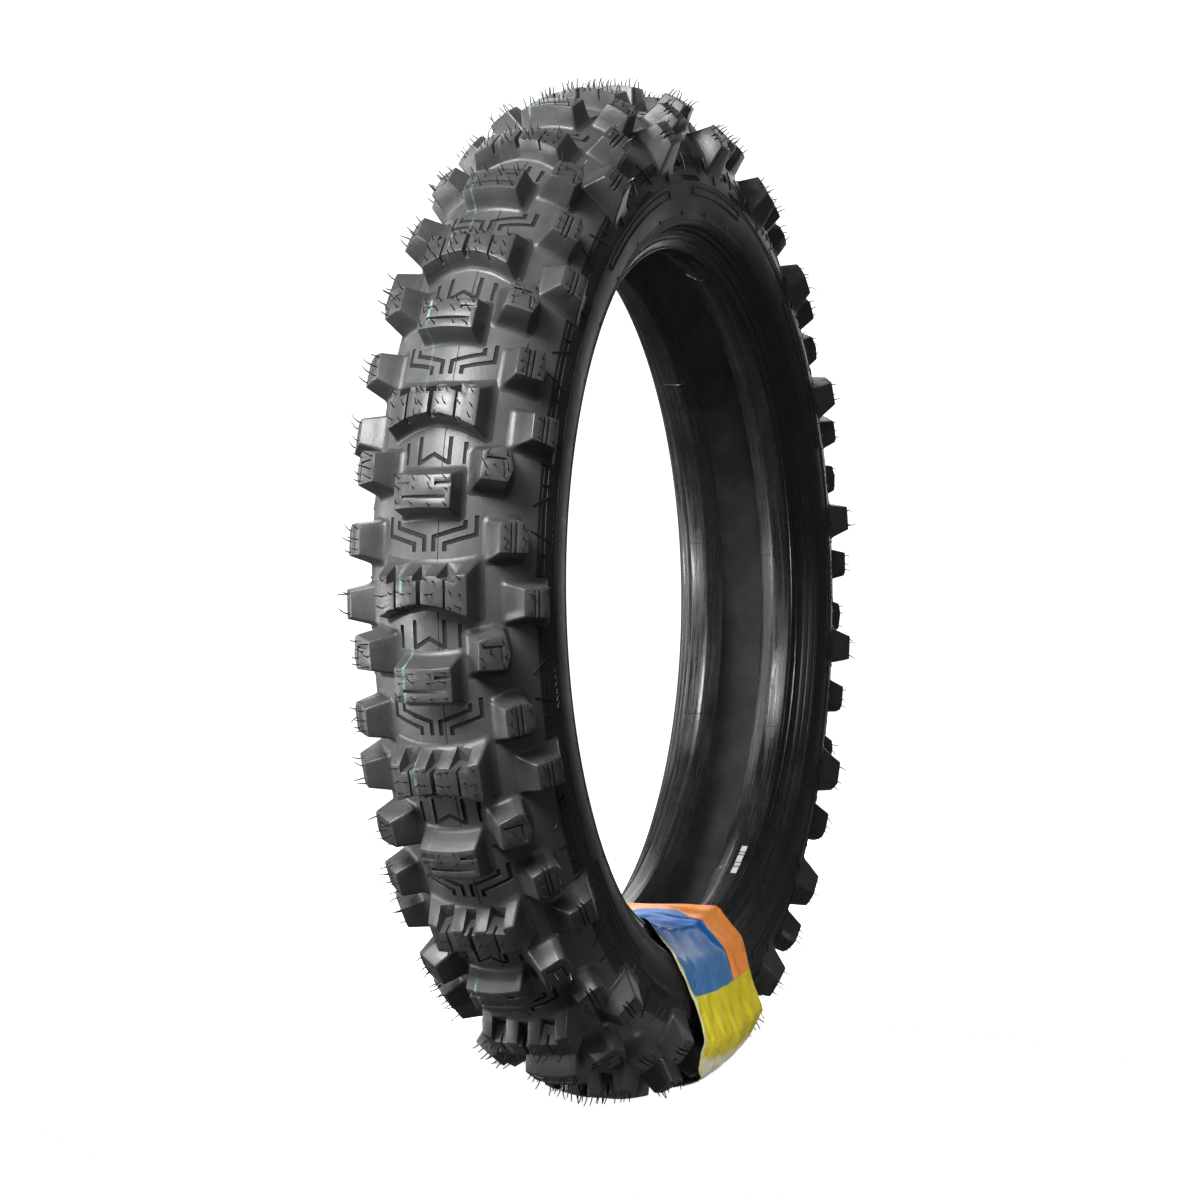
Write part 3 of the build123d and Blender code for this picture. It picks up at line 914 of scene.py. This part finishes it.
def film():
    """Band of film drawn round the section, leaning with the wheel's curve."""
    around, across = 400, 90
    loop, total = smooth_loop(FILM_LOOP, around)
    verts = []
    marks = {"orange": [], "blue": [], "inside": [], "strip": [], "cream": []}
    for j in range(across + 1):
        v = j / across
        for i in range(around):
            p = loop[i]
            q = loop[(i + 1) % around] - loop[i - 1]
            n = Vector((q.y, -q.x)).normalized()
            if n.dot(p - Vector((0, CENTRE_R))) < 0:
                n = -n
            place = total * min(i, around - i) / around
            far, near = along(FILM_FAR, place), along(FILM_NEAR, place)
            ripple = 0.8 * math.sin(place * 0.11 + (2.0 if i * 2 > around else 0.0))
            x = far + (near - far) * v + ripple * (2 * v - 1)
            ease = min(1.0, 6 * v * (1 - v) + 0.35)
            slack = 0.35 * math.sin(x * 0.31 + place * 0.07) * math.sin(place * 0.043)
            dent = fold_depth(place, x) * ease + slack
            y, r = p.x - n.x * dent, p.y - n.y * dent
            verts.append((x, y, -math.sqrt(r * r - x * x)))
            edge = 112.5 + 4.5 * math.cos((x + 22) / 60)
            marks["orange"].append(along(FILM_ORANGE, place) - x)
            marks["blue"].append(place - edge)
            marks["inside"].append(place - 146 - 0.12 * x)
            marks["strip"].append(x - near + (5.4 if place < 152 else 0.0))
            marks["cream"].append(69 + 0.07 * x - place)
    faces = []
    for j in range(across):
        for i in range(around):
            k = (i + 1) % around
            faces.append((j * around + i, j * around + k, (j + 1) * around + k, (j + 1) * around + i))
    obj = new_object("film_wrap", verts, faces, 85)
    for name, values in marks.items():
        obj.data.attributes.new(name, "FLOAT", "POINT").data.foreach_set("value", values)
    thick = obj.modifiers.new("film", "SOLIDIFY")
    thick.thickness = 0.12 * MM
    thick.offset = -1
    return obj


film_object = film()
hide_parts("film_sleeve")


# ------------------------------------------------------------ materials
def node(tree, kind, **values):
    n = tree.nodes.new(kind)
    for key, value in values.items():
        setattr(n, key, value)
    return n


def feed(tree, target, source):
    if hasattr(source, "is_output"):
        tree.links.new(source, target)
    else:
        target.default_value = source


def noise(tree, scale, detail=3.0, rough=0.5, vector=None):
    n = node(tree, "ShaderNodeTexNoise")
    n.inputs["Scale"].default_value = scale
    n.inputs["Detail"].default_value = detail
    n.inputs["Roughness"].default_value = rough
    if vector is None:
        vector = node(tree, "ShaderNodeTexCoord").outputs["Object"]
    tree.links.new(vector, n.inputs["Vector"])
    return n.outputs["Fac"]


def ramp(tree, value, low, high, out_low=0.0, out_high=1.0):
    n = node(tree, "ShaderNodeMapRange")
    n.interpolation_type = "SMOOTHSTEP"
    feed(tree, n.inputs["Value"], value)
    for key, number in (("From Min", low), ("From Max", high), ("To Min", out_low), ("To Max", out_high)):
        n.inputs[key].default_value = number
    return n.outputs["Result"]


def maths(tree, operation, a, b=0.0, c=0.0):
    n = node(tree, "ShaderNodeMath", operation=operation)
    for slot_in, value in zip(n.inputs, (a, b, c)):
        feed(tree, slot_in, value)
    return n.outputs[0]


def mix(tree, factor, a, b):
    n = node(tree, "ShaderNodeMix", data_type="RGBA")
    feed(tree, n.inputs["Factor"], factor)
    for key, value in (("A", a), ("B", b)):
        socket = [x for x in n.inputs if x.name == key and x.type == "RGBA"][0]
        feed(tree, socket, value)
    return [x for x in n.outputs if x.type == "RGBA"][0]


def new_material(name):
    material = bpy.data.materials.new(name)
    material.use_nodes = True
    tree = material.node_tree
    shader = tree.nodes["Principled BSDF"]
    return material, tree, shader


def bump(tree, shader, height, strength, distance):
    n = node(tree, "ShaderNodeBump")
    n.inputs["Strength"].default_value = strength
    n.inputs["Distance"].default_value = distance
    tree.links.new(height, n.inputs["Height"])
    tree.links.new(n.outputs["Normal"], shader.inputs["Normal"])


def root_of_squares(tree, a, b):
    """Square root of the sum of two squares."""
    total = maths(tree, "ADD", maths(tree, "MULTIPLY", a, a), maths(tree, "MULTIPLY", b, b))
    return maths(tree, "SQRT", total)


def place_on_wheel(tree):
    """Coordinates of the shaded point, and its distance from the axle."""
    split = node(tree, "ShaderNodeSeparateXYZ")
    tree.links.new(node(tree, "ShaderNodeTexCoord").outputs["Object"], split.inputs[0])
    x, y, z = split.outputs
    return x, y, z, root_of_squares(tree, x, z)


def rubber(name, dark, light, roughness, grain=0.5, tread=False, streaks=False):
    """Moulded rubber; on the tread the sunk lines are matt and painted near black as shade, and a thin paint
    line runs round.
    """
    material, tree, shader = new_material(name)
    fine = noise(tree, 1500.0, 2.0)
    patches = noise(tree, 28.0, 4.0, 0.6)
    colour = mix(tree, ramp(tree, patches, 0.35, 0.68), (*dark, 1), (*light, 1))
    specks = ramp(tree, noise(tree, 650.0, 2.0), 0.64, 0.74)
    colour = mix(tree, maths(tree, "MULTIPLY", specks, 0.35), colour, (0.12, 0.12, 0.12, 1))
    rough = ramp(tree, patches, 0.3, 0.7, roughness - 0.05, roughness + 0.07)
    if streaks:
        x, y, z, r = place_on_wheel(tree)
        join = node(tree, "ShaderNodeCombineXYZ")
        feed(tree, join.inputs["X"], r)
        feed(tree, join.inputs["Y"], y)
        feed(tree, join.inputs["Z"], maths(tree, "MULTIPLY", maths(tree, "ARCTAN2", x, z), 0.008))
        drawn = noise(tree, 520.0, 4.0, 0.65, join.outputs["Vector"])
        rough = maths(tree, "ADD", rough, ramp(tree, drawn, 0.35, 0.65, -0.09, 0.12))
        colour = mix(tree, ramp(tree, drawn, 0.55, 0.75, 0.0, 0.5), colour, (0.06, 0.06, 0.06, 1))
    if tread:
        x, y, z, r = place_on_wheel(tree)
        out = maths(tree, "SUBTRACT", r, CENTRE_R * MM)
        reach = root_of_squares(tree, y, out)
        # Sunk groove floors get a near-black colour, which is painted shade in the recesses, and they are
        # made more matt.
        sunk = ramp(tree, reach, (SECTION_R - 0.16) * MM, (SECTION_R - 0.5) * MM)
        colour = mix(tree, sunk, colour, (0.0035, 0.0035, 0.0035, 1))
        rough = maths(tree, "ADD", rough, maths(tree, "MULTIPLY", sunk, 0.4))
        near = maths(tree, "ABSOLUTE", maths(tree, "ADD", y, 0.0115))
        near = ramp(tree, maths(tree, "ADD", near, maths(tree, "MULTIPLY", fine, 0.0003)), 0.00105, 0.00075)
        raised = ramp(tree, reach, (SECTION_R + 9) * MM, (SECTION_R + 12) * MM, 0.34, 1.0)
        worn = ramp(tree, noise(tree, 190.0, 5.0, 0.75), 0.36, 0.60)
        patch = ramp(tree, noise(tree, 16.0, 2.0), 0.42, 0.58, 0.15, 1.0)
        kept = maths(tree, "MULTIPLY", patch, raised)
        coat = maths(tree, "MULTIPLY", maths(tree, "MULTIPLY", near, worn), kept)
        colour = mix(tree, maths(tree, "MULTIPLY", coat, 0.75), colour, (0.17, 0.36, 0.35, 1))
    tree.links.new(colour, shader.inputs["Base Color"])
    tree.links.new(rough, shader.inputs["Roughness"])
    shader.inputs["Specular IOR Level"].default_value = 0.5
    relief = maths(tree, "ADD", maths(tree, "MULTIPLY", fine, 0.5), noise(tree, 240.0, 4.0, 0.6))
    if streaks:
        relief = maths(tree, "ADD", relief, maths(tree, "MULTIPLY", drawn, 1.5))
    bump(tree, shader, relief, grain, 0.0004)
    return material


def metal(name, colour, roughness):
    material, tree, shader = new_material(name)
    tone = mix(tree, noise(tree, 220.0, 3.0), (*colour, 1), tuple(c * 0.7 for c in colour) + (1,))
    tree.links.new(tone, shader.inputs["Base Color"])
    shader.inputs["Metallic"].default_value = 1.0
    rough = ramp(tree, noise(tree, 90.0), 0.3, 0.7, roughness, roughness + 0.15)
    tree.links.new(rough, shader.inputs["Roughness"])
    return material


def cord_fabric(name, dark, light):
    """Rubber-dipped cord: fine parallel ribs along the ply."""
    material, tree, shader = new_material(name)
    wave = node(tree, "ShaderNodeTexWave")
    wave.inputs["Scale"].default_value = 160.0
    wave.inputs["Distortion"].default_value = 1.5
    tree.links.new(node(tree, "ShaderNodeTexCoord").outputs["Object"], wave.inputs["Vector"])
    tree.links.new(mix(tree, wave.outputs["Fac"], (*dark, 1), (*light, 1)), shader.inputs["Base Color"])
    shader.inputs["Roughness"].default_value = 0.8
    bump(tree, shader, wave.outputs["Fac"], 0.4, 0.0005)
    return material


def film_material():
    """Plain orange, blue, yellow and cream areas, split where the mesh's marks change sign; part of the blue
    is a paler tone, a painted reflection.
    """
    material, tree, shader = new_material("film_plastic_wrap")
    wobble = maths(tree, "MULTIPLY", maths(tree, "SUBTRACT", noise(tree, 60.0, 2.0), 0.5), 1.6)

    def zone(name, soft=0.25):
        mark = node(tree, "ShaderNodeAttribute", attribute_name=name).outputs["Fac"]
        return ramp(tree, maths(tree, "ADD", mark, wobble), -soft, soft)

    cloud = noise(tree, 45.0, 3.0)

    def tone(dark, light):
        return mix(tree, ramp(tree, cloud, 0.2, 0.8), (*dark, 1), (*light, 1))

    yellow = tone((0.64, 0.53, 0.02), (0.76, 0.65, 0.04))
    # The print's deep blue, with a paler blue outside the inside zone that is a painted reflection on the
    # film.
    blue = mix(tree, zone("inside", 3.0), tone((0.045, 0.15, 0.36), (0.065, 0.20, 0.44)),
               tone((0.004, 0.10, 0.38), (0.008, 0.15, 0.50)))
    colour = mix(tree, zone("blue"), yellow, blue)
    orange = maths(tree, "MULTIPLY", zone("orange"), zone("blue"))
    colour = mix(tree, orange, colour, tone((0.90, 0.27, 0.04), (0.96, 0.34, 0.08)))
    colour = mix(tree, zone("cream", 4.0), colour, tone((0.80, 0.77, 0.54), (0.88, 0.86, 0.68)))
    colour = mix(tree, zone("strip", 0.5), colour, tone((0.80, 0.78, 0.34), (0.88, 0.86, 0.46)))
    tree.links.new(colour, shader.inputs["Base Color"])
    tree.links.new(ramp(tree, noise(tree, 60.0), 0.3, 0.7, 0.22, 0.34), shader.inputs["Roughness"])
    shader.inputs["Specular IOR Level"].default_value = 0.12
    return material


tread_rubber = rubber("tread_rubber_black", (0.034, 0.0343, 0.0347), (0.047, 0.0474, 0.048),
                      0.40, 0.45, tread=True)
# The same rubber as the knobs, painted lighter on the floor between them: painted light that makes up for
# the light the knobs keep off it.
lightened_floor_rubber = rubber("tread_floor_rubber_painted_light", (0.050, 0.0505, 0.0512), (0.068, 0.0685, 0.0695),
                      0.42, 0.4, tread=True)
side_rubber = rubber("sidewall_rubber_black", (0.008, 0.0082, 0.0084), (0.014, 0.0142, 0.0145), 0.48, 0.35)
bead_rubber = rubber("bead_rubber_black", (0.009, 0.0092, 0.0094), (0.015, 0.0152, 0.0154),
                     0.28, 0.2, streaks=True)
# Grey liner, painted lighter than its rubber: painted light that stands in for the light reaching into the
# cavity.
lightened_liner_rubber = rubber("liner_rubber_grey_painted_light", (0.160, 0.1605, 0.162), (0.250, 0.251, 0.253), 0.6, 0.35)
hard_rubber = rubber("hard_rubber_black", (0.008, 0.008, 0.0082), (0.013, 0.013, 0.0132), 0.6, 0.3)
hair_rubber = rubber("vent_hair_black", (0.012, 0.012, 0.0122), (0.02, 0.02, 0.0202), 0.32, 0.1)
ply = cord_fabric("ply_cord", (0.20, 0.16, 0.11), (0.36, 0.30, 0.22))
steel = metal("bead_wire_bronze", (0.62, 0.50, 0.34), 0.28)
label_white = rubber("label_white", (0.60, 0.60, 0.585), (0.72, 0.72, 0.70), 0.45, 0.2)


def dress(obj, material, slot_name=None):
    obj.data.materials.clear()
    obj.data.materials.append(material)
    if slot_name:
        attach(obj, "root")


for obj in knob_objects:
    dress(obj, tread_rubber, "tread_rubber")
dress(tread, lightened_floor_rubber, "tread_rubber")
for obj in hair_objects:
    dress(obj, hair_rubber, "tread_rubber")
dress(seam, hard_rubber, "tread_rubber")
for obj in side_objects + trim_objects:
    dress(obj, side_rubber, "sidewall_rubber")
for obj in bead_objects:
    dress(obj, bead_rubber, "chafer_rubber")
dress(film_object, film_material(), "film_plastic")
dress(label, label_white, "label_paper")

carried = {
    "inner_liner": lightened_liner_rubber,
    "carcass_ply_inner": ply,
    "carcass_ply_outer": ply,
    "crown_breaker": ply,
}
for word in ("left", "right"):
    carried["rim_strip_" + word] = hard_rubber
    carried["bead_filler_" + word] = hard_rubber
    carried["bead_core_rubber_" + word] = hard_rubber
    carried["bead_wires_" + word] = steel
for name, material in carried.items():
    for slot_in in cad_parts[name].material_slots:
        slot_in.material = material


# ------------------------------------------------------------ floor, light and camera
def backdrop():
    """Pale floor that curves up into a wall all round the tyre."""
    profile = [(0.4, 0.0)]
    for i in range(25):
        a = math.radians(90 * i / 24)
        profile.append((3.2 + 1.4 * math.sin(a), 1.4 - 1.4 * math.cos(a)))
    profile.append((4.6, 4.5))
    steps = 64
    verts, faces = [], [tuple(range(steps))]
    for row, (reach, rise) in enumerate(profile):
        for i in range(steps):
            a = 2 * math.pi * i / steps
            verts.append((reach * math.cos(a), reach * math.sin(a), FLOOR_Z + rise))
        if row:
            first = (row - 1) * steps
            for i in range(steps):
                k = (i + 1) % steps
                faces.append((first + i, first + k, first + steps + k, first + steps + i))
    mesh = bpy.data.meshes.new("backdrop")
    mesh.from_pydata(verts, [], faces)
    obj = bpy.data.objects.new("backdrop", mesh)
    bpy.context.collection.objects.link(obj)
    for face in mesh.polygons:
        face.use_smooth = True
    material, tree, shader = new_material("backdrop_white")
    tone = mix(tree, noise(tree, 1.5), (0.90, 0.90, 0.90, 1), (0.93, 0.93, 0.93, 1))
    tree.links.new(tone, shader.inputs["Base Color"])
    shader.inputs["Roughness"].default_value = 0.9
    shader.inputs["Emission Color"].default_value = (1, 1, 1, 1)
    shader.inputs["Emission Strength"].default_value = 1.0
    mesh.materials.append(material)
    obj.visible_diffuse = False
    obj.visible_glossy = False
    obj.visible_shadow = False


backdrop()


def area_light(name, azimuth, elevation, distance, size, power, target=(0, 0, 0), cone=180):
    """Soft box placed round the tyre; azimuth from +X towards +Y."""
    a, e = math.radians(azimuth), math.radians(elevation)
    data = bpy.data.lights.new(name, "AREA")
    data.shape = "RECTANGLE"
    data.size, data.size_y = size
    data.energy = power
    data.spread = math.radians(cone)
    obj = bpy.data.objects.new(name, data)
    bpy.context.collection.objects.link(obj)
    place = Vector((math.cos(a) * math.cos(e), math.sin(a) * math.cos(e), math.sin(e))) * distance
    obj.location = Vector(target) + place
    obj.rotation_euler = (-place).to_track_quat("-Z", "Y").to_euler()
    obj.visible_camera = False


area_light("key_high", -10, 36, 2.2, (0.8, 0.8), 86)
area_light("key_low", -50, -7, 1.9, (1.0, 0.12), 28)
area_light("front", 8, 30, 2.2, (0.9, 0.7), 22)
area_light("side_left", -98, 8, 2.3, (0.45, 1.6), 15)
area_light("side_front", -78, 8, 2.3, (0.45, 1.6), 8)
area_light("fill_right", 58, 14, 2.4, (1.4, 1.4), 3)
area_light("low_right", 72, -2, 0.8, (0.3, 0.15), 0.12, target=(0.02, 0.05, -0.30), cone=26)
area_light("behind", 192, 12, 2.4, (2.0, 1.4), 22)
area_light("behind_high", 212, 36, 2.4, (1.6, 1.0), 14)

world = bpy.data.worlds.new("studio")
bpy.context.scene.world = world
world.use_nodes = True
world.node_tree.nodes["Background"].inputs["Color"].default_value = (1, 1, 1, 1)
world.node_tree.nodes["Background"].inputs["Strength"].default_value = 0.085


def camera():
    azimuth, elevation, roll = math.radians(111.0), math.radians(-0.42), math.radians(-0.35)
    place = Vector((math.sin(azimuth) * math.cos(elevation), -math.cos(azimuth) * math.cos(elevation),
                    math.sin(elevation))) * 2.004
    forward = -place.normalized()
    right = forward.cross(Vector((0, 0, 1))).normalized()
    up = right.cross(forward)
    forward = forward + math.tan(math.radians(-0.60)) * right
    forward = (forward + math.tan(math.radians(-0.15)) * up).normalized()
    right = forward.cross(up).normalized()
    up = right.cross(forward)
    x = math.cos(roll) * right + math.sin(roll) * up
    y = -math.sin(roll) * right + math.cos(roll) * up
    data = bpy.data.cameras.new("camera")
    data.sensor_width = 36.0
    data.lens = 2949.1 / 1200 * 36.0
    data.clip_start = 0.05
    obj = bpy.data.objects.new("camera", data)
    bpy.context.collection.objects.link(obj)
    obj.matrix_world = Matrix.Translation(place) @ Matrix((x, y, -forward)).transposed().to_4x4()
    bpy.context.scene.camera = obj


camera()
bpy.context.scene.view_settings.view_transform = "Standard"
